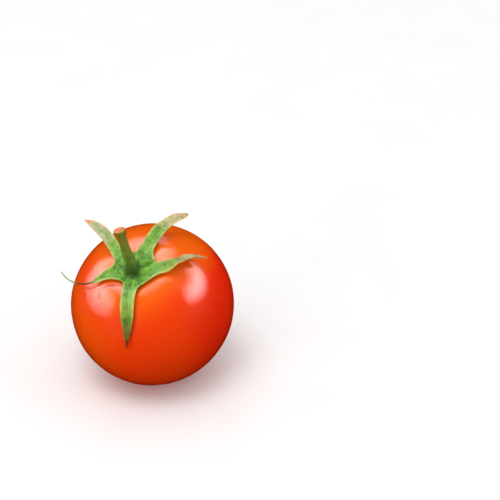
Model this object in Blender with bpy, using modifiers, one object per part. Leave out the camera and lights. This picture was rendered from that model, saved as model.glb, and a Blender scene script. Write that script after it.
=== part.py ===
"""A cherry tomato as picked: one round fruit, the calyx on top of it and a short stem.

The calyx is a disc round the foot of the stem, with five sepals standing off it. Every piece
is built upright in the fruit's own frame, about the fruit's centre with the stem end up. An
empty then leans that frame over, so that the fruit lies on a small flat spot at the origin.
"""

import math
from typing import NamedTuple

import bmesh
import bpy
from mathutils import Matrix, Vector

# The fruit's skin.
FRUIT_WIDTH = 0.0350
FRUIT_HEIGHT = 0.0336
CAVITY_DEPTH = 0.0022  # how far the stem end sinks in
CAVITY_SPREAD = math.radians(15)
DIMPLE_DEPTH = 0.0004  # the same at the blossom end
DIMPLE_SPREAD = math.radians(9)
FURROW_DEPTH = 0.00035  # a shallow furrow runs down the shoulder under each sepal
FURROW_HALF_WIDTH = math.radians(13)
SHOULDER = math.radians(30)  # where the furrows are deepest, and how far they reach
SHOULDER_REACH = math.radians(14)

# How the fruit lies.
LEAN = math.radians(32)
LEAN_HEADING = math.radians(22.5)  # from -Y towards -X
FLAT_SINK = 0.00035  # how much the resting spot is flattened

# The calyx and the stem.
GAP = 0.0004  # between pieces that touch
DISC_RADIUS = 0.0033
DISC_THICKNESS = 0.0008
STEM_LENGTH = 0.0107
STEM_RADIUS = 0.00106
STEM_FOOT_RADIUS = 0.0017
STEM_END_RADIUS = 0.00124  # it broke off at its joint, which is a little swollen
STEM_FOOT_LENGTH = 0.0020
STEM_END_LENGTH = 0.0014
STEM_BEND = math.radians(31)  # away from the fruit's axis
STEM_ELBOW = 0.0012  # it leaves the fruit upright, and bends over within a length like this
STEM_BEND_HEADING = math.radians(95)
SEPAL_THICKNESS = 0.00045
SEPAL_CUP = 0.00035  # how far a sepal's edges stand above its middle
SEPAL_FULLNESS = 2.1  # how long a blade stays wide before it tapers to its tip
SEPAL_BASE_FLARE = 0.09  # share of the length over which it takes on its own width
SEPAL_TIP_HALF_WIDTH = 0.00016


class Sepal(NamedTuple):
    azimuth: float  # degrees, where it leaves the disc
    turn: float  # degrees that it turns steadily on its way out
    swing: float  # degrees that it turns as it rises
    reach: float  # degrees from the stem to its tip
    lift: float  # of its tip, off the skin
    rise: float  # share of its length before it rises
    width: float
    thread: float  # share of its length, at the tip, that is a mere thread


SEPALS = {
    "sepal_front": Sepal(-102.5, 4, -4, reach=55.5, lift=0.0003, rise=0.20, width=0.0031, thread=0.03),
    "sepal_right": Sepal(-9, 29, -13, reach=49, lift=0.0025, rise=0.60, width=0.0028, thread=0.04),
    "sepal_back_right": Sepal(52, 20, -27, reach=48, lift=0.0050, rise=0.17, width=0.0029, thread=0.02),
    "sepal_back_left": Sepal(129, -25, 23, reach=45, lift=0.0060, rise=0.06, width=0.0024, thread=0.02),
    "sepal_left": Sepal(179, 18, -31, reach=53.5, lift=0.0033, rise=0.24, width=0.0023, thread=0.52),
}

# Mesh density.
FRUIT_SEGMENTS = 60
FRUIT_RINGS = 36
DISC_STEPS_ROUND = 40
DISC_STEPS_ACROSS = 4
SEPAL_CELLS_ALONG = 18
SEPAL_CELLS_ACROSS = 4
STEM_POINTS = 14

HALF_WIDTH = FRUIT_WIDTH / 2
HALF_HEIGHT = FRUIT_HEIGHT / 2


def angle_between(first, second):
    """The smaller angle between two azimuths."""
    return abs((first - second + math.pi) % (2 * math.pi) - math.pi)


def furrow(polar, azimuth):
    """Depth of the furrow under the nearest sepal."""
    aside = min(angle_between(azimuth, math.radians(shape.azimuth)) for shape in SEPALS.values())
    across = math.exp(-((aside / FURROW_HALF_WIDTH) ** 2))
    along = math.exp(-(((polar - SHOULDER) / SHOULDER_REACH) ** 2))
    return FURROW_DEPTH * across * along


def smooth_distance(polar):
    """How far the skin is from the fruit's centre, leaving out the furrows."""
    oval = 1 / math.hypot(math.sin(polar) / HALF_WIDTH, math.cos(polar) / HALF_HEIGHT)
    cavity = CAVITY_DEPTH * math.exp(-((polar / CAVITY_SPREAD) ** 2))
    dimple = DIMPLE_DEPTH * math.exp(-(((math.pi - polar) / DIMPLE_SPREAD) ** 2))
    return oval - cavity - dimple


def point_at(polar, azimuth, distance):
    """The point at this distance from the fruit's centre."""
    flat = distance * math.sin(polar)
    return Vector((flat * math.cos(azimuth), flat * math.sin(azimuth), distance * math.cos(polar)))


def skin(polar, azimuth, height=0.0):
    """The point at a height over the skin, along the line from the fruit's centre."""
    return point_at(polar, azimuth, smooth_distance(polar) - furrow(polar, azimuth) + height)


def over_skin(point, height):
    """A point moved along its line from the fruit's centre, to this height over the skin."""
    polar = math.atan2(math.hypot(point.x, point.y), point.z)
    return skin(polar, math.atan2(point.y, point.x), height)


def polar_at_radius(radius):
    """The polar angle at which the skin stands this far from the fruit's axis, near the stem."""
    low, high = 0.0, math.pi / 4
    while high - low > 1e-7:
        middle = (low + high) / 2
        if smooth_distance(middle) * math.sin(middle) < radius:
            low = middle
        else:
            high = middle
    return low


def material(name, color, roughness):
    made = bpy.data.materials.new(name)
    made.use_nodes = True
    shader = made.node_tree.nodes["Principled BSDF"]
    shader.inputs["Base Color"].default_value = (*color, 1)
    shader.inputs["Roughness"].default_value = roughness
    shader.inputs["Metallic"].default_value = 0
    return made


def collection(name):
    made = bpy.data.collections.new(name)
    bpy.context.scene.collection.children.link(made)
    return made


def mesh_object(name, bm, folder, finish=None):
    """A smooth mesh object made from bm, in the given collection."""
    mesh = bpy.data.meshes.new(name)
    bm.to_mesh(mesh)
    bm.free()
    if finish:
        mesh.materials.append(finish)
        mesh.shade_smooth()
    made = bpy.data.objects.new(name, mesh)
    folder.objects.link(made)
    return made


def lowest_point():
    """The lowest point of the leaning oval, from the fruit's centre: its foot on the table."""
    down = Matrix.Rotation(-LEAN, 3, lean_axis()) @ Vector((0, 0, -1))
    squares = Vector((HALF_WIDTH**2, HALF_WIDTH**2, HALF_HEIGHT**2))
    touch = squares * down / math.sqrt(down.dot(squares * down))
    return Matrix.Rotation(LEAN, 3, lean_axis()) @ touch


def lean_axis():
    """The level line that the fruit leans about."""
    return Vector((math.cos(LEAN_HEADING), -math.sin(LEAN_HEADING), 0))


def leaning_frame(folder):
    """The empty that carries every piece, with the flat spot's centre at the world's origin."""
    frame = bpy.data.objects.new("fruit_axis", None)
    folder.objects.link(frame)
    place = -lowest_point() - Vector((0, 0, FLAT_SINK))
    frame.matrix_world = Matrix.Translation(place) @ Matrix.Rotation(LEAN, 4, lean_axis())
    return frame


def fruit(folder, finish):
    """A ball whose points are moved out to the skin."""
    bm = bmesh.new()
    bmesh.ops.create_uvsphere(bm, u_segments=FRUIT_SEGMENTS, v_segments=FRUIT_RINGS, radius=1)
    for vertex in bm.verts:
        x, y, z = vertex.co
        vertex.co = skin(math.atan2(math.hypot(x, y), z), math.atan2(y, x))
    return mesh_object("fruit", bm, folder, finish)


def flatten(piece, folder):
    """Cuts a piece off level with the table."""
    size = 2 * FRUIT_WIDTH
    bm = bmesh.new()
    bmesh.ops.create_cube(bm, size=size, matrix=Matrix.Translation((0, 0, -size / 2)))
    table = mesh_object("table_cutter", bm, folder)
    table.hide_render = True
    table.display_type = "WIRE"
    cut = piece.modifiers.new("resting_spot", "BOOLEAN")
    cut.operation = "DIFFERENCE"
    cut.solver = "EXACT"
    cut.object = table


def calyx_disc(folder, finish):
    """A turned ring that follows the floor of the cavity round the stem's foot."""
    inner = polar_at_radius(STEM_FOOT_RADIUS + GAP)
    outer = polar_at_radius(DISC_RADIUS)
    step = (outer - inner) / DISC_STEPS_ACROSS
    polars = [inner + step * number for number in range(DISC_STEPS_ACROSS + 1)]
    floor = [smooth_distance(polar) + GAP for polar in polars]
    bottom = [point_at(polar, 0, distance) for polar, distance in zip(polars, floor)]
    top = [point_at(polar, 0, distance + DISC_THICKNESS) for polar, distance in zip(polars, floor)]
    bm = bmesh.new()
    loop = [bm.verts.new(corner) for corner in top + bottom[::-1]]
    for first, second in zip(loop, loop[1:] + loop[:1]):
        bm.edges.new((first, second))
    made = mesh_object("calyx_disc", bm, folder, finish)
    turn = made.modifiers.new("turn", "SCREW")
    turn.axis = "Z"
    turn.steps = turn.render_steps = DISC_STEPS_ROUND
    turn.use_merge_vertices = True
    turn.merge_threshold = 1e-5
    return made


def base_half_width(shape):
    """Half a sepal's width at the disc, where it fills its share of the room to its neighbour."""
    azimuths = [math.radians(other.azimuth) for other in SEPALS.values() if other is not shape]
    nearest = min(angle_between(math.radians(shape.azimuth), azimuth) for azimuth in azimuths)
    return (DISC_RADIUS + GAP) * math.sin(nearest / 2) - GAP / 2


def sepal_half_width(shape, along):
    """Half the blade's width: its base meets the disc, then it is lance-shaped to its tip."""
    blade = min(1.0, along / (1 - shape.thread))
    lance = shape.width / 2 * math.cos(math.pi / 2 * blade**SEPAL_FULLNESS)
    flare = (base_half_width(shape) - shape.width / 2) * math.exp(-((along / SEPAL_BASE_FLARE) ** 2))
    return max(SEPAL_TIP_HALF_WIDTH, lance + flare)


def sepal_line(shape, along):
    """Polar angle, azimuth and height over the skin of the sepal's middle line."""
    start = polar_at_radius(DISC_RADIUS + GAP)
    risen = max(0.0, (along - shape.rise) / (1 - shape.rise)) ** 2
    polar = start + (math.radians(shape.reach) - start) * along
    azimuth = math.radians(shape.azimuth + shape.turn * along + shape.swing * risen)
    return polar, azimuth, GAP + SEPAL_THICKNESS / 2 + shape.lift * risen


def sepal(name, shape, folder, finish):
    """A flat grid laid over the skin along the sepal's line, then given its thickness."""
    bm = bmesh.new()
    bmesh.ops.create_grid(
        bm, x_segments=SEPAL_CELLS_ALONG, y_segments=SEPAL_CELLS_ACROSS, size=1
    )
    for vertex in bm.verts:
        along = (vertex.co.x + 1) / 2
        aside = vertex.co.y
        half_width = sepal_half_width(shape, along)
        polar, azimuth, height = sepal_line(shape, along)
        sideways = Vector((-math.sin(azimuth), math.cos(azimuth), 0)) * half_width * aside
        point = skin(polar, azimuth, height) + sideways
        cup = SEPAL_CUP * aside**2 * min(1.0, 2 * half_width / shape.width)
        vertex.co = over_skin(point, height + cup)
    made = mesh_object(name, bm, folder, finish)
    shell = made.modifiers.new("thickness", "SOLIDIFY")
    shell.thickness = SEPAL_THICKNESS
    shell.offset = 0
    shell.use_even_offset = True
    return made


def stem_radius(travel):
    """The stem widens towards its foot and, a little, towards its broken end."""
    foot = math.exp(-((travel * STEM_LENGTH / STEM_FOOT_LENGTH) ** 2))
    end = math.exp(-(((1 - travel) * STEM_LENGTH / STEM_END_LENGTH) ** 2))
    return STEM_RADIUS + (STEM_FOOT_RADIUS - STEM_RADIUS) * foot + (STEM_END_RADIUS - STEM_RADIUS) * end


def stem(folder, finish):
    """A tube that leaves the cavity along the fruit's axis and bends over to one side."""
    line = bpy.data.curves.new("stem", "CURVE")
    line.dimensions = "3D"
    line.bevel_depth = 1
    line.bevel_resolution = 4
    line.use_fill_caps = True
    spline = line.splines.new("POLY")
    spline.points.add(STEM_POINTS - 1)
    upward = Vector((0, 0, 1))
    aside = Vector((math.cos(STEM_BEND_HEADING), math.sin(STEM_BEND_HEADING), 0))
    foot_edge = polar_at_radius(STEM_FOOT_RADIUS)
    place = upward * point_at(foot_edge, 0, smooth_distance(foot_edge) + GAP).z
    step = STEM_LENGTH / (STEM_POINTS - 1)
    for number, point in enumerate(spline.points):
        travel = number / (STEM_POINTS - 1)
        point.co = (*place, 1)
        point.radius = stem_radius(travel)
        tilt = STEM_BEND * (1 - math.exp(-travel * STEM_LENGTH / STEM_ELBOW))
        place = place + step * (math.cos(tilt) * upward + math.sin(tilt) * aside)
    made = bpy.data.objects.new("stem", line)
    line.materials.append(finish)
    folder.objects.link(made)
    return made


def build():
    for old in list(bpy.data.objects):
        bpy.data.objects.remove(old)
    tomato = collection("cherry_tomato")
    cutters = collection("cutters")
    red_skin = material("fruit_skin", (0.80, 0.075, 0.008), 0.22)
    green = material("calyx_green", (0.13, 0.30, 0.045), 0.62)
    stem_green = material("stem_green", (0.10, 0.19, 0.025), 0.58)
    pieces = [
        fruit(tomato, red_skin),
        calyx_disc(tomato, green),
        stem(tomato, stem_green),
        *(sepal(name, shape, tomato, green) for name, shape in SEPALS.items()),
    ]
    frame = leaning_frame(tomato)
    for piece in pieces:
        piece.parent = frame
    flatten(pieces[0], cutters)


build()
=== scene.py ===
"""The looks of a cherry tomato as picked: its skin, its calyx with five sepals, and its stem.

Every piece is modelled upright in the fruit's own frame, about the fruit's centre with the stem
end up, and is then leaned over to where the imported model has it. Lengths are in metres.
"""

import math
from typing import NamedTuple

import bmesh
import bpy
from mathutils import Matrix, Vector, noise

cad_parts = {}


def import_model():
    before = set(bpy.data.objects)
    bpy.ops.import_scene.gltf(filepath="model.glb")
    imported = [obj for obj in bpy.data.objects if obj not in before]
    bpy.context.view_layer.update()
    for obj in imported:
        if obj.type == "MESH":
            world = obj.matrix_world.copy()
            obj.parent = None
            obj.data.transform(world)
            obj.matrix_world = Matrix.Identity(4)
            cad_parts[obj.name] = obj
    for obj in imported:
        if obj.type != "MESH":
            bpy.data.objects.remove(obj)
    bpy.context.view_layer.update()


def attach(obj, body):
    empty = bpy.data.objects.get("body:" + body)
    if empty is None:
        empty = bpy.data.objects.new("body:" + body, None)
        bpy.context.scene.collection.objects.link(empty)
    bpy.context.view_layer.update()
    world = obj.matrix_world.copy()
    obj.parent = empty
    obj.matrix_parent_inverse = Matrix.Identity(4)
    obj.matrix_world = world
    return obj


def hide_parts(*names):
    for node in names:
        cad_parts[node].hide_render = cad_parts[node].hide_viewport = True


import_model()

# The fruit's skin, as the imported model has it.
FRUIT_WIDTH = 0.0350
FRUIT_HEIGHT = 0.0336
CAVITY_DEPTH = 0.0022
CAVITY_SPREAD = math.radians(15)
DIMPLE_DEPTH = 0.0004
DIMPLE_SPREAD = math.radians(9)
FURROW_DEPTH = 0.00035
FURROW_HALF_WIDTH = math.radians(13)
SHOULDER = math.radians(30)
SHOULDER_REACH = math.radians(14)
LEAN = math.radians(32)
LEAN_HEADING = math.radians(22.5)
FLAT_SINK = 0.00035
HALF_WIDTH = FRUIT_WIDTH / 2
HALF_HEIGHT = FRUIT_HEIGHT / 2

# The skin's finer form, which is only here.
FLAT_ROUNDING = 0.00012  # how softly the resting spot runs into the skin around it
FLAT_REACH = 6  # how far up that is felt, in lengths of FLAT_ROUNDING
SWELL = 0.00009
SWELL_SIZE = 0.0085
SWELL_START = 0.3  # polar angles, in radians, between which the swell sets in
SWELL_FULL = 0.7
RIPPLE = 0.000022
RIPPLE_SIZE = 0.0024
FRUIT_SEGMENTS = 288
FRUIT_RINGS = 216

# A crease in the shoulder, between the front and the left sepal, whose line also carries a painted shade:
# polar angle, azimuth, in degrees.
CREASE = [(15.0, -139), (17.0, -145), (21.3, -155.4), (27.4, -160.0), (30.4, -155.9), (33.0, -150.0)]
CREASE_DEPTH = 0.00010
CREASE_WIDTH = 0.00042
CREASE_LIMIT = 1.0  # polar angle, in radians, beyond which nothing is near it

# The calyx and the stem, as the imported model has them.
GAP = 0.0004
DISC_RADIUS = 0.0033
DISC_THICKNESS = 0.0008
STEM_LENGTH = 0.0107
STEM_RADIUS = 0.00106
STEM_FOOT_RADIUS = 0.0017
STEM_END_RADIUS = 0.00124
STEM_FOOT_LENGTH = 0.0020
STEM_END_LENGTH = 0.0014
STEM_BEND = math.radians(31)
STEM_ELBOW = 0.0012
STEM_BEND_HEADING = math.radians(95)
SEPAL_THICKNESS = 0.00045
SEPAL_CUP = 0.00035
TIP_HALF_WIDTH = 0.00016

# The calyx's finer form, which is only here.
CALYX_FOOT = 0.00105  # where the calyx's upper side meets the stem
COLLAR_HEIGHT = 0.0009
COLLAR_WIDTH = 0.0006
HUB_SPREAD = 0.0016  # how far out from the stem the calyx is thicker
GROOVE_DEPTH = 0.00028
GROOVE_WIDTH = 0.22  # of the grooves between the sepals, as a share of the half width
RIDGE_HEIGHT = 0.00045
RIDGE_WIDTH = 0.35  # the same, of the ridge that runs out to each sepal
LUMP_HEIGHT = 0.00030
MIDRIB_DEPTH = 0.00009
VEIN_HEIGHT = 0.00004
BLADE_WAVE = 0.00024  # how far a blade waves up and down
EDGE_FLUTTER = 0.00016
WEB_END = 0.24  # share of a sepal's length where it is clear of its neighbours
WEB_STEP = 0.02  # how far past that the blade's own direction is read
WEB_LEAVE = 0.25  # how straight the web leaves the notch, as a share of its span
WEB_ARRIVE = 0.38  # and how straight it joins the blade
TIP_START = 0.985  # share of its length from which its end is rounded
HUB_ROWS = 20
WEB_ROWS = 26
BLADE_ROWS = 96
COLUMNS = 28  # across a sepal
MERGE_DISTANCE = 2e-7  # points closer than this are one, such as where two sepals meet

# The stem's finer form, which is only here.
STEM_ROWS = 110
STEM_SIDES = 48
STEM_RIBS = 5
STEM_RIB_DEPTH = 0.03  # this and the roughness are shares of its radius
STEM_ROUGHNESS = 0.06
STEM_NECK = 0.00014  # how much it narrows below its end
STEM_NECK_PLACE = 0.78  # shares of its length
STEM_NECK_SPREAD = 0.22
SCAR_ROUGHNESS = 0.00005  # of the broken end
SCAR_GRAIN = 0.0003

# The broken end, from its edge to its middle: distance beyond the end, share of the radius.
STEM_END_PROFILE = [
    (0.00006, 0.985), (0.00011, 0.95), (0.00013, 0.90), (0.00010, 0.82), (0.00004, 0.72),
    (0.00000, 0.60), (-0.00002, 0.46), (0.00002, 0.32), (0.00006, 0.18), (0.00007, 0.08),
]


class Sepal(NamedTuple):
    azimuth: float  # degrees, where it leaves the disc
    turn: float  # degrees that it turns steadily on its way out
    swing: float  # degrees that it turns as it rises
    reach: float  # degrees from the stem to its tip
    lift: float  # of its tip, off the skin
    rise: float  # share of its length before it rises
    width: float
    thread: float  # share of its length, at the tip, that is a mere thread
    fullness: float  # how long the blade stays wide before it tapers
    dry: float  # share of its length from which it has dried
    twist: float = 0  # degrees that the blade has turned about its own length at its tip
    twist_span: tuple = (0.4, 1.0)  # shares of its length between which it twists
    bloom: float = 0.3  # how pale and minty it is beyond the hub
    olive: float = 1.4  # share of its length from which it is olive brown: nowhere, if over 1
    straw: float = 0.5  # how far the dried part is straw, rather than grey green
    blush: float = 0.0  # how far its rim and its tip are salmon, rather than cream
    scorch: tuple = (1.4, 1.5)  # shares of its length between which it is brown


# In order of azimuth, like the notches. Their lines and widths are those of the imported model.
SEPALS = {
    "sepal_front": Sepal(
        -102.5, 4, -4, reach=55.5, lift=0.0003, rise=0.20, width=0.0031, thread=0.03,
        fullness=1.6, bloom=1.0, olive=0.58, dry=1.4, scorch=(0.87, 1.1),
    ),
    "sepal_right": Sepal(
        -9, 29, -13, reach=49, lift=0.0025, rise=0.60, width=0.0028, thread=0.04,
        fullness=8.0, twist=-44, twist_span=(0.28, 0.50), bloom=0.8, olive=0.5,
        dry=0.50, straw=0.7, blush=0.3,
    ),
    "sepal_back_right": Sepal(
        52, 20, -27, reach=48, lift=0.0050, rise=0.17, width=0.0029, thread=0.0,
        fullness=14.0, twist=-12, twist_span=(0.6, 1.0), olive=1.0, dry=0.68, straw=0.6, blush=0.3,
    ),
    "sepal_back_left": Sepal(
        129, -25, 23, reach=45, lift=0.0060, rise=0.06, width=0.0024, thread=0.0,
        fullness=5.0, dry=0.50, straw=0.2, blush=1.0,
    ),
    "sepal_left": Sepal(
        179, 18, -31, reach=53.5, lift=0.0033, rise=0.24, width=0.0023, thread=0.52,
        fullness=1.5, dry=0.80, straw=0.2, scorch=(0.47, 0.74),
    ),
}


class Notch(NamedTuple):
    azimuth: float  # degrees
    radius: float  # from the fruit's axis to the bottom of the notch


# The rounded notches between neighbouring sepals: the first is before sepal_front.
NOTCHES = [
    Notch(-135, 0.0031),
    Notch(-67, 0.0040),
    Notch(14, 0.0048),
    Notch(87, 0.0039),
    Notch(151, 0.0042),
]

# Camera, light and floor.
CAMERA_DOWN = math.radians(32)
CAMERA_DISTANCE = 0.3579
CAMERA_RIGHT = 0.0209  # how far its line of sight passes to the right of the fruit's centre
CAMERA_ABOVE = 0.0116  # and above it
LENS = 120  # this and the sensor are in millimetres, as Blender's cameras have them
SENSOR_WIDTH = 36
NEAR_LIMIT = 0.01
SKY_STRENGTH = 0.94
GROUND_STRENGTH = 0.14
LAMP_DISTANCE = 0.9
HIGHLIGHT_DISTANCE = 0.6
HIGHLIGHT_SPACING = 0.001  # between the layers of a highlight
HIGHLIGHT_LAYERS = (1.0, 0.72, 0.44)  # sizes of the nested ovals that make up a highlight
FLOOR_HALF_SIZE = 3
FLOOR_DROP = 0.00002  # how far the floor lies below the resting spot


# ---------------------------------------------------------------- the fruit's form


def angle_between(first, second):
    """The smaller angle between two azimuths."""
    return abs((first - second + math.pi) % (2 * math.pi) - math.pi)


def smoothstep(low, high, value):
    share = min(1.0, max(0.0, (value - low) / (high - low)))
    return share * share * (3 - 2 * share)


def furrow(polar, azimuth):
    """Depth of the furrow under the nearest sepal."""
    aside = min(angle_between(azimuth, math.radians(shape.azimuth)) for shape in SEPALS.values())
    across = math.exp(-((aside / FURROW_HALF_WIDTH) ** 2))
    along = math.exp(-(((polar - SHOULDER) / SHOULDER_REACH) ** 2))
    return FURROW_DEPTH * across * along


def smooth_distance(polar):
    """How far the skin is from the fruit's centre, leaving out the furrows."""
    oval = 1 / math.hypot(math.sin(polar) / HALF_WIDTH, math.cos(polar) / HALF_HEIGHT)
    cavity = CAVITY_DEPTH * math.exp(-((polar / CAVITY_SPREAD) ** 2))
    dimple = DIMPLE_DEPTH * math.exp(-(((math.pi - polar) / DIMPLE_SPREAD) ** 2))
    return oval - cavity - dimple


def point_at(polar, azimuth, distance):
    """The point at this distance from the fruit's centre."""
    flat = distance * math.sin(polar)
    return Vector((flat * math.cos(azimuth), flat * math.sin(azimuth), distance * math.cos(polar)))


def skin(polar, azimuth, height=0.0):
    """The point at a height over the skin, along the line from the fruit's centre."""
    return point_at(polar, azimuth, smooth_distance(polar) - furrow(polar, azimuth) + height)


def radius_at(polar):
    """How far the skin stands from the fruit's axis, leaving out the furrows."""
    return smooth_distance(polar) * math.sin(polar)


def polar_at_radius(radius):
    """The polar angle at which the skin stands this far from the fruit's axis, near the stem."""
    low, high = 0.0, math.pi / 4
    while high - low > 1e-7:
        middle = (low + high) / 2
        if radius_at(middle) < radius:
            low = middle
        else:
            high = middle
    return low


def lean_axis():
    """The level line that the fruit leans about."""
    return Vector((math.cos(LEAN_HEADING), -math.sin(LEAN_HEADING), 0))


def leaning_frame():
    """The fruit's own frame, leaning, with the flat spot's centre at the world's origin."""
    down = Matrix.Rotation(-LEAN, 3, lean_axis()) @ Vector((0, 0, -1))
    squares = Vector((HALF_WIDTH**2, HALF_WIDTH**2, HALF_HEIGHT**2))
    touch = squares * down / math.sqrt(down.dot(squares * down))
    lowest = Matrix.Rotation(LEAN, 3, lean_axis()) @ touch
    place = -lowest - Vector((0, 0, FLAT_SINK))
    return Matrix.Translation(place) @ Matrix.Rotation(LEAN, 4, lean_axis())


FRUIT_FRAME = leaning_frame()
FRUIT_CENTRE = FRUIT_FRAME.to_translation()


# ---------------------------------------------------------------- node helpers


class Nodes:
    """Builds one material's node tree in short calls."""

    def __init__(self, name):
        self.material = bpy.data.materials.new(name)
        self.material.use_nodes = True
        self.tree = self.material.node_tree
        self.shader = self.tree.nodes["Principled BSDF"]

    def put(self, socket, value):
        if isinstance(value, bpy.types.NodeSocket):
            self.tree.links.new(value, socket)
        elif isinstance(value, tuple) and len(value) == 3 and socket.type == "RGBA":
            socket.default_value = (*value, 1)
        else:
            socket.default_value = value

    def node(self, kind, inputs=(), **settings):
        made = self.tree.nodes.new(kind)
        for name, value in settings.items():
            setattr(made, name, value)
        for name, value in dict(inputs).items():
            self.put(made.inputs[name], value)
        return made

    def finish(self, **values):
        for name, value in values.items():
            self.put(self.shader.inputs[name.replace("_", " ")], value)
        return self.material

    def attribute(self, name, output="Fac"):
        return self.node("ShaderNodeAttribute", attribute_name=name).outputs[output]

    def math(self, operation, first, second=0.0):
        return self.node("ShaderNodeMath", {0: first, 1: second}, operation=operation).outputs[0]

    def times(self, first, second):
        return self.math("MULTIPLY", first, second)

    def ramp(self, value, low, high, start=0.0, end=1.0):
        """value from low to high, smoothly, as start to end."""
        inputs = {"Value": value, "From Min": low, "From Max": high, "To Min": start, "To Max": end}
        made = self.node("ShaderNodeMapRange", inputs, interpolation_type="SMOOTHSTEP")
        return made.outputs["Result"]

    def mix(self, share, first, second):
        """The first colour, with this share of the second over it."""
        made = self.node("ShaderNodeMix", data_type="RGBA")
        self.put(made.inputs[0], share)
        self.put(made.inputs[6], first)
        self.put(made.inputs[7], second)
        return made.outputs[2]

    def place(self):
        return self.node("ShaderNodeTexCoord").outputs["Object"]

    def noise(self, size, detail=3.0, roughness=0.5, place=None):
        """Noise with features about this far across, in the units of place."""
        inputs = {
            "Vector": place or self.place(), "Scale": 1 / size, "Detail": detail, "Roughness": roughness,
        }
        return self.node("ShaderNodeTexNoise", inputs).outputs["Fac"]

    def stretched(self, attribute, scale):
        """A vector attribute, scaled along each of its axes."""
        inputs = {"Vector": self.attribute(attribute, "Vector"), "Scale": scale}
        return self.node("ShaderNodeMapping", inputs).outputs[0]

    def bump(self, height, depth, strength=1.0, normal=None):
        made = self.node("ShaderNodeBump", {"Height": height, "Distance": depth, "Strength": strength})
        if normal:
            self.put(made.inputs["Normal"], normal)
        return made.outputs["Normal"]


# ---------------------------------------------------------------- materials


def fruit_material():
    made = Nodes("tomato_skin")
    polar = made.attribute("polar")
    orange, red, deep = (0.92, 0.120, 0.001), (0.90, 0.045, 0.0008), (0.86, 0.020, 0.0008)
    patches = made.noise(0.009, detail=2)
    uneven = made.times(patches, 0.35)
    ripe = made.math("ADD", made.ramp(polar, 0.25, 0.85, -0.15, 0.72), uneven)
    base = made.mix(made.ramp(ripe, 0.1, 0.9), orange, red)

    # Deeper red towards +X, more orange towards -X, and more orange towards the top.
    where = made.node("ShaderNodeSeparateXYZ", {0: made.place()}).outputs
    sideways, upwards = where["X"], where["Z"]
    red_side_share = made.math("ADD", made.ramp(sideways, 0.001, 0.019), made.math("SUBTRACT", uneven, 0.17))
    red_side_share = made.times(made.ramp(red_side_share, 0.1, 0.95), made.ramp(polar, 0.55, 1.15))
    base = made.mix(red_side_share, base, deep)
    orange_side_share = made.times(made.ramp(sideways, -0.015, -0.003, 0.8, 0), made.ramp(polar, 0.5, 1.0))
    base = made.mix(orange_side_share, base, (0.91, 0.092, 0.001))
    base = made.mix(made.ramp(upwards, 0.0262, 0.0315, 0, 0.8), base, (0.93, 0.140, 0.001))

    # Faint streaks down the skin, pale flecks, the cavity's rim, painted shade along the crease and the
    # blossom scar.
    stripes = made.noise(0.55, detail=4, place=made.stretched("meridian", (16, 1.2, 1)))
    base = made.mix(made.ramp(stripes, 0.45, 0.75, 0, 0.04), base, (0.95, 0.22, 0.002))
    cells = made.node(
        "ShaderNodeTexVoronoi", {"Vector": made.place(), "Scale": 1 / 0.00075, "Randomness": 1.0}
    ).outputs["Distance"]
    flecks = made.times(made.ramp(cells, 0.05, 0.20, 1, 0), made.ramp(made.noise(0.004), 0.4, 0.7))
    base = made.mix(made.times(flecks, 0.16), base, (0.95, 0.34, 0.004))
    rim = made.ramp(polar, 0.16, 0.34, 1, 0)
    base = made.mix(made.times(rim, 0.65), base, (0.62, 0.20, 0.012))
    # Painted shade: the skin darkened along the crease.
    base = made.mix(made.attribute("dent_and_painted_shade"), base, (0.60, 0.045, 0.001))
    scar = made.ramp(polar, 3.05, 3.11)
    halo = made.ramp(polar, 2.86, 3.08)
    base = made.mix(made.times(halo, 0.55), base, (0.85, 0.30, 0.05))
    base = made.mix(scar, base, (0.42, 0.25, 0.11))

    bump = made.bump(made.noise(0.00035, detail=2), 0.000006)
    bump = made.bump(made.noise(0.0016, detail=3), 0.00003, normal=bump)
    return made.finish(
        Base_Color=base,
        Roughness=made.ramp(patches, 0.3, 0.7, 0.15, 0.19),
        Specular_IOR_Level=0.40,
        Subsurface_Weight=0.12,
        Subsurface_Radius=(1.0, 0.16, 0.03),
        Subsurface_Scale=0.0015,
        Normal=bump,
    )


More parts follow.
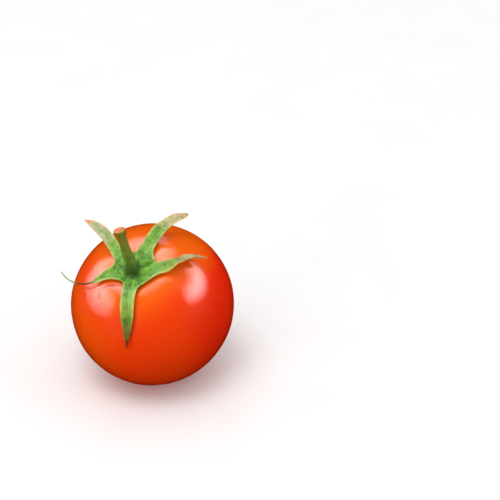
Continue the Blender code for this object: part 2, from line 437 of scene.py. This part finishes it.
def sepal_material():
    made = Nodes("calyx_leaf")
    along = made.attribute("along")
    aside = made.math("ABSOLUTE", made.attribute("aside"))
    hub = made.attribute("hub")
    blush = made.attribute("blush")
    grain = made.noise(0.0011, detail=4, roughness=0.6)
    speckle = made.noise(0.00042, detail=3)

    # Mottled green, minty on some blades, olive and dried towards their ends.
    base = made.mix(made.ramp(grain, 0.36, 0.64), (0.034, 0.170, 0.004), (0.165, 0.410, 0.016))
    base = made.mix(made.ramp(speckle, 0.50, 0.68, 0, 0.6), base, (0.32, 0.54, 0.045))
    bloom = made.times(made.attribute("bloom"), made.ramp(along, 0.3, 0.62, 0.6, 0))
    pale = made.mix(made.ramp(along, 0.12, 0.4), (0.26, 0.54, 0.130), (0.36, 0.40, 0.050))
    base = made.mix(bloom, base, pale)
    fibres = made.noise(1.0, detail=3, place=made.stretched("blade", (9, 3, 1)))
    olive = made.mix(made.ramp(fibres, 0.35, 0.65), (0.095, 0.075, 0.003), (0.230, 0.175, 0.010))
    base = made.mix(made.attribute("olive"), base, olive)
    green_grey = made.mix(made.ramp(grain, 0.3, 0.7), (0.24, 0.34, 0.125), (0.46, 0.54, 0.280))
    tan = made.mix(made.ramp(grain, 0.3, 0.7), (0.34, 0.27, 0.095), (0.66, 0.47, 0.235))
    dried = made.mix(made.attribute("straw"), green_grey, tan)
    base = made.mix(made.attribute("dry"), base, dried)

    # Dark patches, painted shade in the grooves, fibres and midrib, then a painted highlight along the
    # pale edge.
    dark = made.ramp(made.noise(0.0016, detail=3), 0.54, 0.66, 0, 0.6)
    base = made.mix(dark, base, (0.045, 0.125, 0.006))
    # Painted shade in the grooves between the sepals on the hub.
    base = made.mix(made.times(made.attribute("crease_and_painted_shade"), 0.65), base, (0.030, 0.105, 0.004))
    base = made.mix(made.ramp(fibres, 0.45, 0.70, 0, 0.35), base, (0.050, 0.150, 0.010))
    midrib = made.times(made.ramp(aside, 0.02, 0.14, 1, 0), made.ramp(along, 0.15, 0.4))
    base = made.mix(made.times(midrib, 0.45), base, (0.055, 0.105, 0.008))
    # Painted highlight along the blade's hairy rim: cream, salmon where blushed, olive brown where olive,
    # in patches.
    edge_highlight_tint = made.mix(blush, (0.66, 0.56, 0.17), (0.80, 0.36, 0.16))
    edge_highlight_tint = made.mix(made.attribute("olive"), edge_highlight_tint, (0.40, 0.24, 0.02))
    highlight_patches = made.ramp(made.noise(0.0013, detail=3), 0.32, 0.66, 0.15, 0.85)
    edge_highlight = made.times(made.ramp(aside, 0.60, 0.98), highlight_patches)
    base = made.mix(made.times(edge_highlight, made.ramp(hub, 0, 1, 1, 0.8)), base, edge_highlight_tint)

    # The paler underside, the flushed and scorched tips and painted shade round the stem's foot.
    base = made.mix(made.times(made.attribute("under"), 0.35), base, (0.36, 0.44, 0.19))
    flushed = made.times(blush, made.ramp(along, 0.84, 0.97, 0, 0.8))
    base = made.mix(flushed, base, (0.80, 0.25, 0.120))
    base = made.mix(made.attribute("scorch"), base, (0.060, 0.026, 0.008))
    # Painted shade: the hub darkened round the stem's foot.
    base = made.mix(made.times(made.attribute("stem_foot_painted_shade"), 0.92), base, (0.016, 0.062, 0.001))
    height = made.math("ADD", fibres, made.times(made.noise(0.00022, detail=2), 0.8))
    return made.finish(
        Base_Color=base,
        Roughness=made.ramp(grain, 0.3, 0.7, 0.50, 0.66),
        Specular_IOR_Level=0.2,
        Subsurface_Weight=0.10,
        Subsurface_Radius=(0.6, 1.0, 0.15),
        Subsurface_Scale=0.0005,
        Sheen_Weight=0.04,
        Sheen_Roughness=0.4,
        Normal=made.bump(height, 0.00008, 0.9),
    )


def stem_material():
    made = Nodes("stem_bark")
    travel = made.attribute("travel")
    face = made.attribute("face")
    grain = made.noise(0.0009, detail=4, roughness=0.6)
    base = made.mix(made.ramp(grain, 0.36, 0.66), (0.060, 0.145, 0.005), (0.170, 0.265, 0.018))
    base = made.mix(made.ramp(travel, 0.35, 0.9, 0, 0.8), base, (0.200, 0.150, 0.006))
    fibres = made.noise(1.0, detail=3, place=made.stretched("bark", (2.2, 5, 1)))
    base = made.mix(made.ramp(fibres, 0.52, 0.72, 0, 0.45), base, (0.32, 0.33, 0.05))
    # Painted shade: darker towards the foot, where the stem meets the calyx.
    base = made.mix(made.ramp(travel, 0.10, 0.36, 0.92, 0), base, (0.018, 0.070, 0.001))
    crust = made.noise(0.0005, detail=4)
    cut = made.mix(made.ramp(crust, 0.36, 0.62), (0.40, 0.10, 0.025), (0.84, 0.28, 0.090))
    base = made.mix(face, base, cut)
    height = made.math("ADD", fibres, made.times(made.noise(0.00025, detail=2), 0.7))
    return made.finish(
        Base_Color=base,
        Roughness=made.ramp(grain, 0.3, 0.7, 0.48, 0.64),
        Specular_IOR_Level=0.18,
        Sheen_Weight=0.04,
        Sheen_Roughness=0.4,
        Normal=made.bump(height, 0.00008, 0.9),
    )


def floor_material():
    made = Nodes("paper_sweep")
    speck = made.noise(0.02, detail=2)
    tone = made.mix(made.ramp(speck, 0.3, 0.7), (0.91, 0.91, 0.91), (0.93, 0.93, 0.93))
    return made.finish(Base_Color=tone, Roughness=0.9, Specular_IOR_Level=0.1)


# ---------------------------------------------------------------- pieces


def add_object(name, bm, finish, matrix=None):
    """A smooth mesh object made from bm, which is left in world coordinates."""
    mesh = bpy.data.meshes.new(name)
    if matrix:
        bmesh.ops.transform(bm, matrix=matrix, verts=bm.verts)
    bm.to_mesh(mesh)
    bm.free()
    mesh.materials.append(finish)
    mesh.shade_smooth()
    made = bpy.data.objects.new(name, mesh)
    bpy.context.scene.collection.objects.link(made)
    return made


def strip(bm, first, second):
    """A row of faces between two rows of vertices."""
    for near, near_next, far, far_next in zip(first, first[1:], second, second[1:]):
        bm.faces.new((near, near_next, far_next, far))


def swell(place):
    """Slow, shallow unevenness of the skin, with a finer ripple."""
    slow = noise.noise(place / SWELL_SIZE)
    fine = noise.noise(place / RIPPLE_SIZE + Vector((7, 3, 5)))
    return SWELL * slow + RIPPLE * fine


def crease_and_painted_shade(polar, azimuth):
    """How near a place on the skin is to the crease, which sets its depth and its painted shade: 1 in it,
    0 well away from it.
    """
    here = on_map(polar, azimuth)
    spots = [on_map(math.radians(away), math.radians(around)) for away, around in CREASE]
    nearest = math.inf
    for first, second in zip(spots, spots[1:]):
        span = second - first
        share = min(1.0, max(0.0, (here - first).dot(span) / span.length_squared))
        nearest = min(nearest, (here - first - span * share).length)
    return math.exp(-((nearest * HALF_HEIGHT / CREASE_WIDTH) ** 2))


def fruit(finish):
    """A ball whose points are moved out to the skin and kept off the table."""
    bm = bmesh.new()
    bmesh.ops.create_uvsphere(bm, u_segments=FRUIT_SEGMENTS, v_segments=FRUIT_RINGS, radius=1)
    polars = bm.verts.layers.float.new("polar")
    dent_and_painted_shade_layer = bm.verts.layers.float.new("dent_and_painted_shade")
    meridians = bm.verts.layers.float_vector.new("meridian")
    for vertex in bm.verts:
        x, y, z = vertex.co
        polar, azimuth = math.atan2(math.hypot(x, y), z), math.atan2(y, x)
        dent_and_painted_shade = crease_and_painted_shade(polar, azimuth) if polar < CREASE_LIMIT else 0.0
        swollen = swell(skin(polar, azimuth)) * smoothstep(SWELL_START, SWELL_FULL, polar)
        vertex.co = FRUIT_FRAME @ skin(polar, azimuth, swollen - CREASE_DEPTH * dent_and_painted_shade)
        level = vertex.co.z / FLAT_ROUNDING
        if level < FLAT_REACH:
            vertex.co.z = FLAT_ROUNDING * math.log(1 + math.exp(level))
        vertex[polars] = polar
        # Kept for the painted shade along the crease.
        vertex[dent_and_painted_shade_layer] = dent_and_painted_shade
        vertex[meridians] = (abs(azimuth), polar, 0)
    return add_object("tomato_skin", bm, finish)


def on_map(polar, azimuth):
    """A place on the map of the stem end: polar angle outwards, azimuth round."""
    return Vector((polar * math.cos(azimuth), polar * math.sin(azimuth)))


def over_map(place, height):
    """The point at this height over the skin above a place on the map."""
    return skin(place.length, math.atan2(place.y, place.x), height)


def blade_half_width(shape, along):
    """Half the blade's width beyond the web: lance-shaped, with a rounded end."""
    blade = min(1.0, along / (1 - shape.thread))
    lance = shape.width / 2 * math.cos(math.pi / 2 * blade**shape.fullness)
    width = max(TIP_HALF_WIDTH, lance)
    end = max(0.0, (along - TIP_START) / (1 - TIP_START))
    return width * math.sqrt(max(0.0, 1 - end * end))


def risen(shape, along):
    """How far the sepal has risen, from 0 on the skin to 1 at its tip."""
    return max(0.0, (along - shape.rise) / (1 - shape.rise)) ** 2


def sepal_line(shape, along):
    """Polar angle and azimuth of the sepal's middle line."""
    start = polar_at_radius(DISC_RADIUS + GAP)
    polar = start + (math.radians(shape.reach) - start) * along
    turned = shape.turn * along + shape.swing * risen(shape, along)
    return polar, math.radians(shape.azimuth + turned)


def twist_at(shape, along):
    """How far the blade has turned about its own length."""
    return math.radians(shape.twist) * smoothstep(*shape.twist_span, along)


def middle(shape, along):
    """A place on the map on the sepal's middle line."""
    return on_map(*sepal_line(shape, along))


def blade_edge(shape, along, side):
    """A place on the map on one edge of the blade: side is -1 or 1."""
    polar, azimuth = sepal_line(shape, along)
    height = GAP + SEPAL_THICKNESS / 2 + shape.lift * risen(shape, along)
    radius = (smooth_distance(polar) + height) * math.sin(polar)
    offset = blade_half_width(shape, along) * math.cos(twist_at(shape, along))
    sideways = Vector((-math.sin(azimuth), math.cos(azimuth))) * side
    return on_map(polar, azimuth) + sideways * math.atan2(offset, radius) * polar


def web_edge(shape, notch, share, side):
    """A place on the curve from the bottom of a notch to the blade's own edge."""
    azimuth = math.radians(notch.azimuth)
    bottom = on_map(polar_at_radius(notch.radius), azimuth)
    end = blade_edge(shape, WEB_END, side)
    beyond = blade_edge(shape, WEB_END + WEB_STEP, side)
    reach = (end - bottom).length
    leave = Vector((-math.sin(azimuth), math.cos(azimuth))) * -side
    arrive = (beyond - end).normalized()
    first = bottom + leave * reach * WEB_LEAVE
    second = end - arrive * reach * WEB_ARRIVE
    rest = 1 - share
    return (
        bottom * rest**3 + first * 3 * rest**2 * share + second * 3 * rest * share**2 + end * share**3
    )


def hub_height(radius):
    """Height of the middle surface over the skin and its thickness, which grow towards the stem."""
    away = max(0.0, radius - CALYX_FOOT)
    inward = math.exp(-((away / HUB_SPREAD) ** 2))
    collar = math.exp(-(away / COLLAR_WIDTH))
    thickness = SEPAL_THICKNESS + (DISC_THICKNESS - SEPAL_THICKNESS) * inward + COLLAR_HEIGHT * collar
    return GAP + thickness / 2, thickness


def hub_relief(share, aside, seed):
    """How far the hub is ridged towards each sepal and grooved between the sepals."""
    midway = 4 * share * (1 - share)
    groove = GROOVE_DEPTH * math.exp(-(((1 - abs(aside)) / GROOVE_WIDTH) ** 2))
    ridge = RIDGE_HEIGHT * math.exp(-((aside / RIDGE_WIDTH) ** 2))
    lumps = LUMP_HEIGHT * noise.noise(Vector((share * 3, aside * 1.6, seed))) * (1 - abs(aside))
    return midway * (ridge + lumps - groove)


class Spot(NamedTuple):
    place: Vector  # on the map
    height: float  # of the middle surface, over the skin
    thickness: float
    rim: float  # 0 well inside, 1 on the rim, where the two sides meet
    along: float
    aside: float
    out: float  # share of the way from the stem to the rim of the hub


def relief(shape, along, aside, seed):
    """How far the blade's surface stands above its middle line: cupped, waved and grooved."""
    free = smoothstep(0.0, 0.3, along)
    narrow = min(1.0, 2 * blade_half_width(shape, along) / shape.width)
    cup = SEPAL_CUP * aside**2 * narrow
    wave = noise.noise(Vector((along * 7, aside * 0.9, seed))) * BLADE_WAVE * free
    flutter = noise.noise(Vector((along * 17, math.copysign(3, aside), seed))) * abs(aside) ** 3
    groove = MIDRIB_DEPTH * math.exp(-((aside / 0.13) ** 2)) * smoothstep(0.02, 0.25, along)
    vein = VEIN_HEIGHT * math.exp(-(((abs(aside) - 0.5) / 0.12) ** 2)) * free
    return cup + (wave + flutter * EDGE_FLUTTER * free + vein - groove) * narrow


def column_asides():
    """Shares of the half width, closer together towards the edges."""
    return [math.sin(math.pi / 2 * (2 * number / COLUMNS - 1)) for number in range(COLUMNS + 1)]


def across(left, centre, right, aside):
    """The place at this share of the way from the centre to one of two edges."""
    return centre.lerp(right if aside > 0 else left, abs(aside))


def hub_spots(shape, before, after, seed):
    """Rows of spots from the stem to the sepal's root and the notches beside it."""
    azimuth = math.radians(shape.azimuth)
    left_azimuth = math.radians(before.azimuth)
    right_azimuth = math.radians(after.azimuth)
    if left_azimuth > azimuth:
        left_azimuth -= 2 * math.pi
    if right_azimuth < azimuth:
        right_azimuth += 2 * math.pi
    foot = polar_at_radius(CALYX_FOOT)
    root = middle(shape, 0)
    left = on_map(polar_at_radius(before.radius), left_azimuth)
    right = on_map(polar_at_radius(after.radius), right_azimuth)
    rows = []
    for number in range(HUB_ROWS):
        share = number / HUB_ROWS
        row = []
        for aside in column_asides():
            toward = right_azimuth if aside > 0 else left_azimuth
            inner = on_map(foot, azimuth + (toward - azimuth) * abs(aside))
            place = inner.lerp(across(left, root, right, aside), share)
            height, thickness = hub_height(radius_at(place.length))
            raised = hub_relief(share, aside, seed)
            rim = share**4 * abs(aside)
            row.append(Spot(place, height + raised / 2, thickness + raised, rim, 0, aside, share))
        rows.append(row)
    return rows


def blade_spots(shape, before, after, seed):
    """Rows of spots from the sepal's root to its tip: along the webs, then along the free blade."""
    rows = []
    for number in range(WEB_ROWS + BLADE_ROWS + 1):
        if number < WEB_ROWS:
            share = number / WEB_ROWS
            along = WEB_END * share
            left = web_edge(shape, before, share, -1)
            right = web_edge(shape, after, share, 1)
        else:
            share = (number - WEB_ROWS) / BLADE_ROWS
            along = WEB_END + (1 - WEB_END) * math.sin(math.pi / 2 * share) ** 0.9
            left = blade_edge(shape, along, -1)
            right = blade_edge(shape, along, 1)
        half_width = blade_half_width(shape, along)
        tilt = math.sin(twist_at(shape, along)) * half_width
        lifted = math.hypot(shape.lift * risen(shape, along), tilt)
        thinned = 0.5 + 0.5 * min(1.0, half_width / (0.3 * shape.width))
        row = []
        for aside in column_asides():
            place = across(left, middle(shape, along), right, aside)
            height, thickness = hub_height(radius_at(place.length))
            bent = lifted + tilt * aside + relief(shape, along, aside, seed)
            row.append(Spot(place, height + bent, thickness * thinned, abs(aside), along, aside, 1.0))
        rows.append(row)
    return rows


def surface_normals(points):
    """The upward normal at each point of a grid of points."""
    normals = []
    for number, row in enumerate(points):
        ahead = points[min(number + 1, len(points) - 1)]
        behind = points[max(number - 1, 0)]
        line = []
        for column in range(len(row)):
            lengthwise = ahead[column] - behind[column]
            crosswise = row[min(column + 1, len(row) - 1)] - row[max(column - 1, 0)]
            normal = lengthwise.cross(crosswise)
            line.append(normal.normalized() if normal.length > 1e-14 else Vector((0, 0, 0)))
        normals.append(line)
    return normals


# Attributes handed to the leaf's material, two of which mark where shade is painted: round the stem's
# foot and in the hub's grooves.
TINTS = (
    "along", "aside", "hub", "stem_foot_painted_shade", "crease_and_painted_shade", "bloom",
    "olive", "dry", "straw", "blush", "scorch", "under",
)


def tints(shape, spot, side):
    """What the leaf's material needs to know at a spot."""
    first, last = shape.scorch
    brown = smoothstep(first - 0.05, first + 0.03, spot.along)
    brown *= 1 - smoothstep(last - 0.04, last + 0.04, spot.along)
    return {
        "along": spot.along,
        "aside": spot.aside if spot.along > 0 else spot.aside * spot.rim,
        "hub": 1 - smoothstep(0.0, 0.10, spot.along),
        # Painted shade round the stem's foot, and in the grooves between the sepals on the hub.
        "stem_foot_painted_shade": 1 - smoothstep(0.05, 0.55, spot.out),
        "crease_and_painted_shade": 4 * spot.out * (1 - spot.out) * smoothstep(0.55, 1.0, abs(spot.aside)),
        "bloom": shape.bloom * smoothstep(0.0, 0.12, spot.along),
        "olive": smoothstep(shape.olive - 0.18, shape.olive + 0.18, spot.along),
        "dry": smoothstep(shape.dry - 0.14, shape.dry + 0.15, spot.along),
        "straw": shape.straw,
        "blush": shape.blush * smoothstep(0.45, 0.8, spot.along),
        "scorch": brown,
        "under": 0.0 if side > 0 else 1.0,
    }


def sepal_side(bm, layers, shape, number, rows, side):
    """One side of a sepal and of its part of the hub, as rows of vertices: side is 1 or -1."""
    points = [[over_map(spot.place, spot.height) for spot in row] for row in rows]
    grid = []
    for row, line, normals in zip(rows, points, surface_normals(points)):
        made = []
        for spot, point, normal in zip(row, line, normals):
            outward = point.normalized().lerp(normal, smoothstep(0.02, 0.2, spot.along))
            if outward.length > 1e-6:
                outward.normalize()
            half = spot.thickness / 2 * math.sqrt(max(0.0, 1 - spot.rim**4))
            vertex = bm.verts.new(point + outward * half * side)
            for name, value in tints(shape, spot, side).items():
                vertex[layers[name]] = value
            vertex[layers["blade"]] = (spot.aside + number * 5, spot.along * 3, 0)
            made.append(vertex)
        grid.append(made)
    return grid


def calyx(finish):
    """One grown piece: the hub round the stem's foot and the five sepals that leave it."""
    bm = bmesh.new()
    layers = {name: bm.verts.layers.float.new(name) for name in TINTS}
    layers["blade"] = bm.verts.layers.float_vector.new("blade")
    for number, (shape, before) in enumerate(zip(SEPALS.values(), NOTCHES)):
        after = NOTCHES[(number + 1) % len(NOTCHES)]
        seed = number * 11.7
        rows = hub_spots(shape, before, after, seed) + blade_spots(shape, before, after, seed)
        top = sepal_side(bm, layers, shape, number, rows, 1)
        bottom = sepal_side(bm, layers, shape, number, rows, -1)
        for first, second in zip(top, top[1:]):
            strip(bm, second, first)
        for first, second in zip(bottom, bottom[1:]):
            strip(bm, first, second)
        strip(bm, top[0], bottom[0])
    bmesh.ops.remove_doubles(bm, verts=bm.verts, dist=MERGE_DISTANCE)
    bmesh.ops.recalc_face_normals(bm, faces=bm.faces)
    return add_object("calyx", bm, finish, FRUIT_FRAME)


def stem_radius(travel):
    """The stem widens towards its foot and, a little, towards its broken end."""
    foot = math.exp(-((travel * STEM_LENGTH / STEM_FOOT_LENGTH) ** 2))
    end = math.exp(-(((1 - travel) * STEM_LENGTH / STEM_END_LENGTH) ** 2))
    neck = STEM_NECK * math.exp(-(((travel - STEM_NECK_PLACE) / STEM_NECK_SPREAD) ** 2)) * (1 - end)
    swollen = (STEM_FOOT_RADIUS - STEM_RADIUS) * foot + (STEM_END_RADIUS - STEM_RADIUS) * end
    return STEM_RADIUS + swollen - neck


def stem_ring(bm, layers, place, upward, aside, tilt, radius, travel, face):
    """A ring of the stem square to its line."""
    heading = math.cos(tilt) * upward + math.sin(tilt) * aside
    inward = math.cos(tilt) * aside - math.sin(tilt) * upward
    third = heading.cross(inward)
    ring = []
    for number in range(STEM_SIDES):
        angle = 2 * math.pi * number / STEM_SIDES
        rib = STEM_RIB_DEPTH * math.cos(STEM_RIBS * angle + 1.3 * travel) * (1 - 0.6 * face)
        rough = STEM_ROUGHNESS * noise.noise(Vector((math.cos(angle), math.sin(angle), travel * 5)) * 1.7)
        reach = radius * (1 + rib + rough)
        spot = place + reach * (math.cos(angle) * inward + math.sin(angle) * third)
        spot += heading * face * SCAR_ROUGHNESS * noise.noise(spot / SCAR_GRAIN)
        vertex = bm.verts.new(spot)
        vertex[layers["travel"]] = travel
        vertex[layers["face"]] = face
        vertex[layers["bark"]] = (math.cos(angle) * 2, math.sin(angle) * 2, travel * 3)
        ring.append(vertex)
    return ring


def stem(finish):
    """A ribbed tube that leaves the cavity along the fruit's axis, bends over and ends in a scar."""
    bm = bmesh.new()
    layers = {name: bm.verts.layers.float.new(name) for name in ("travel", "face")}
    layers["bark"] = bm.verts.layers.float_vector.new("bark")
    upward = Vector((0, 0, 1))
    aside = Vector((math.cos(STEM_BEND_HEADING), math.sin(STEM_BEND_HEADING), 0))
    foot_edge = polar_at_radius(STEM_FOOT_RADIUS)
    place = upward * point_at(foot_edge, 0, smooth_distance(foot_edge) + GAP).z
    step = STEM_LENGTH / (STEM_ROWS - 1)
    rings = []
    for number in range(STEM_ROWS):
        travel = number / (STEM_ROWS - 1)
        tilt = STEM_BEND * (1 - math.exp(-travel * STEM_LENGTH / STEM_ELBOW))
        radius = stem_radius(travel)
        rings.append(stem_ring(bm, layers, place, upward, aside, tilt, radius, travel, 0.0))
        if number < STEM_ROWS - 1:
            place = place + step * (math.cos(tilt) * upward + math.sin(tilt) * aside)
    heading = math.cos(tilt) * upward + math.sin(tilt) * aside
    for beyond, share in STEM_END_PROFILE:
        spot = place + heading * beyond
        face = smoothstep(1.0, 0.93, share)
        rings.append(stem_ring(bm, layers, spot, upward, aside, tilt, radius * share, 1.0, face))
    for first, second in zip(rings, rings[1:]):
        strip(bm, first + first[:1], second + second[:1])
    bm.faces.new(rings[0][::-1])
    bm.faces.new(rings[-1])
    bmesh.ops.recalc_face_normals(bm, faces=bm.faces)
    return add_object("stem_stalk", bm, finish, FRUIT_FRAME)


# ---------------------------------------------------------------- stage, lights and camera


def floor():
    bm = bmesh.new()
    bmesh.ops.create_grid(bm, x_segments=1, y_segments=1, size=FLOOR_HALF_SIZE)
    made = add_object("floor", bm, floor_material(), Matrix.Translation((0, 0, -FLOOR_DROP)))
    made.visible_glossy = False
    made.visible_diffuse = False


def camera():
    data = bpy.data.cameras.new("camera")
    data.lens = LENS
    data.sensor_width = SENSOR_WIDTH
    data.clip_start = NEAR_LIMIT
    made = bpy.data.objects.new("camera", data)
    bpy.context.scene.collection.objects.link(made)
    back = Vector((0, -math.cos(CAMERA_DOWN), math.sin(CAMERA_DOWN)))
    above = Vector((0, math.sin(CAMERA_DOWN), math.cos(CAMERA_DOWN)))
    right = Vector((1, 0, 0))
    made.location = FRUIT_CENTRE + back * CAMERA_DISTANCE + right * CAMERA_RIGHT + above * CAMERA_ABOVE
    made.rotation_euler = (math.pi / 2 - CAMERA_DOWN, 0, 0)
    bpy.context.scene.camera = made


def soft_light(name, toward, distance, lengthwise, length, width, radiance):
    """A soft oval light that faces the fruit from the direction toward."""
    data = bpy.data.lights.new(name, "AREA")
    data.shape = "ELLIPSE"
    data.size, data.size_y = width, length
    data.energy = radiance * math.pi * math.pi / 4 * width * length
    made = bpy.data.objects.new(name, data)
    bpy.context.scene.collection.objects.link(made)
    back = Vector(toward).normalized()
    sideways = Vector(lengthwise).cross(back).normalized()
    turned = Matrix((sideways, back.cross(sideways), back)).transposed()
    made.matrix_world = Matrix.Translation(FRUIT_CENTRE + back * distance) @ turned.to_4x4()
    return made


def highlight(name, toward, lengthwise, length, width, radiance):
    """A light that only shows as a highlight, brighter towards its middle."""
    for number, share in enumerate(HIGHLIGHT_LAYERS):
        distance = HIGHLIGHT_DISTANCE - number * HIGHLIGHT_SPACING
        size = (length * share, width * share)
        layer = soft_light(f"{name}_{number}", toward, distance, lengthwise, *size, radiance)
        layer.visible_diffuse = False


def world():
    made = bpy.data.worlds.new("studio")
    made.use_nodes = True
    background = made.node_tree.nodes["Background"]
    background.inputs["Color"].default_value = (1, 1, 1, 1)
    toward = made.node_tree.nodes.new("ShaderNodeTexCoord").outputs["Generated"]
    split = made.node_tree.nodes.new("ShaderNodeSeparateXYZ")
    made.node_tree.links.new(toward, split.inputs[0])
    fade = made.node_tree.nodes.new("ShaderNodeMapRange")
    fade.inputs["From Min"].default_value = -1
    fade.inputs["To Min"].default_value = GROUND_STRENGTH
    fade.inputs["To Max"].default_value = SKY_STRENGTH
    made.node_tree.links.new(split.outputs["Z"], fade.inputs["Value"])
    made.node_tree.links.new(fade.outputs["Result"], background.inputs["Strength"])
    made.cycles_visibility.glossy = False
    bpy.context.scene.world = made


def lights():
    for name, toward, size, radiance in (
        ("overhead", (-0.15, -0.30, 0.94), 0.5, 3.5),
        ("left_fill", (-0.67, -0.74, 0.12), 0.8, 2.1),
        ("right_fill", (0.90, -0.30, 0.20), 0.8, 0.8),
    ):
        lamp = soft_light(name, toward, LAMP_DISTANCE, (0, 1, 0), size, size, radiance)
        lamp.visible_glossy = False
    highlight("left_softbox", (-0.90, 0.05, 0.47), (0.4, 1.08, 0.2), 0.96, 0.62, 3.0)
    highlight("right_softbox", (0.829, -0.03, 0.556), (-0.144, 1.11, 0.232), 0.59, 0.36, 4.2)
    highlight("top_softbox", (-0.18, 0.26, 0.95), (0, 1, 0), 0.90, 0.84, 2.6)


# ---------------------------------------------------------------- the scene


def build():
    pieces = [
        (fruit(fruit_material()), ["fruit"], "fruit_skin"),
        (calyx(sepal_material()), ["calyx_disc", *SEPALS], "calyx_green"),
        (stem(stem_material()), ["stem"], "stem_green"),
    ]
    for piece, nodes, slot in pieces:
        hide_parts(*nodes)
        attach(piece, "root")
    floor()
    world()
    lights()
    camera()
    bpy.context.scene.view_settings.view_transform = "Standard"


build()
